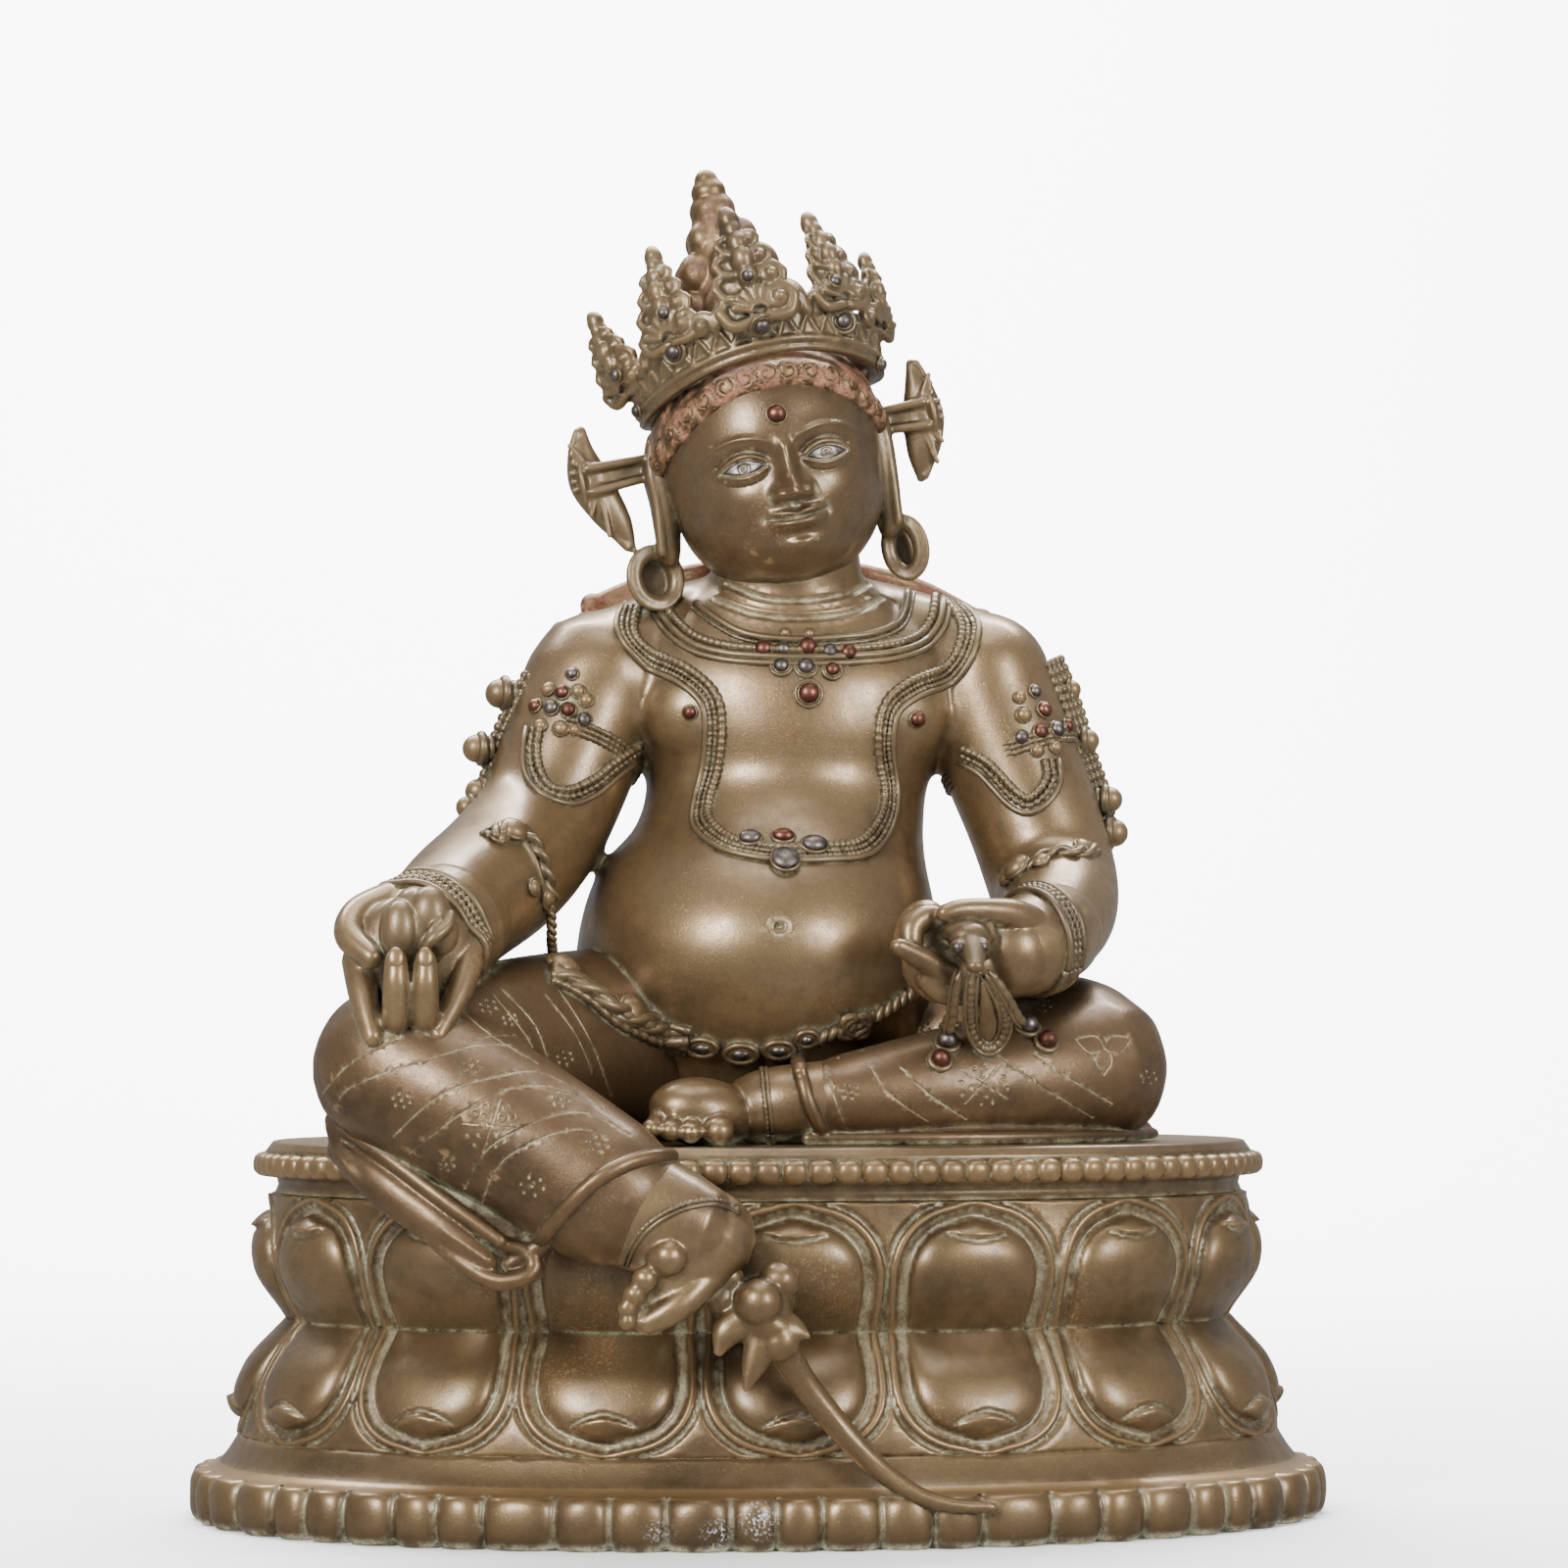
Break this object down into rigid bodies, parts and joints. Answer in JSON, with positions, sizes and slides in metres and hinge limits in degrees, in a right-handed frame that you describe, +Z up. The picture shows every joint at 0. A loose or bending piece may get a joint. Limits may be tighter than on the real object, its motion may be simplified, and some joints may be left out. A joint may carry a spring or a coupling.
{
  "type": "seated wealth deity statue",
  "caption": "Cast copper-alloy wealth deity seated on a double lotus pedestal, fruit and mongoose in hand, one foot on a small lotus.",
  "frame": {"origin": "middle of the whole statue's footprint, on the surface it stands on", "axes": "+X to the viewer's right along the pedestal's length, -Y the figure's front, +Z up"},
  "size_m": [0.2862, 0.2032, 0.3402],
  "materials": {
    "pedestal_bronze": "worn olive-brown cast copper alloy with pale green crevices",
    "figure_bronze": "satin olive-brown cast copper alloy, rubbed bright on high points",
    "silver_inlay": "dull tarnished silver beads and eyes",
    "copper_inlay": "dark reddish copper beads",
    "hair_pigment": "matt worn red mineral pigment on the hair"
  },
  "bodies": {
    "root": {"lotus_pedestal": "pedestal_bronze", "figure": "figure_bronze"}
  },
  "joints": []
}
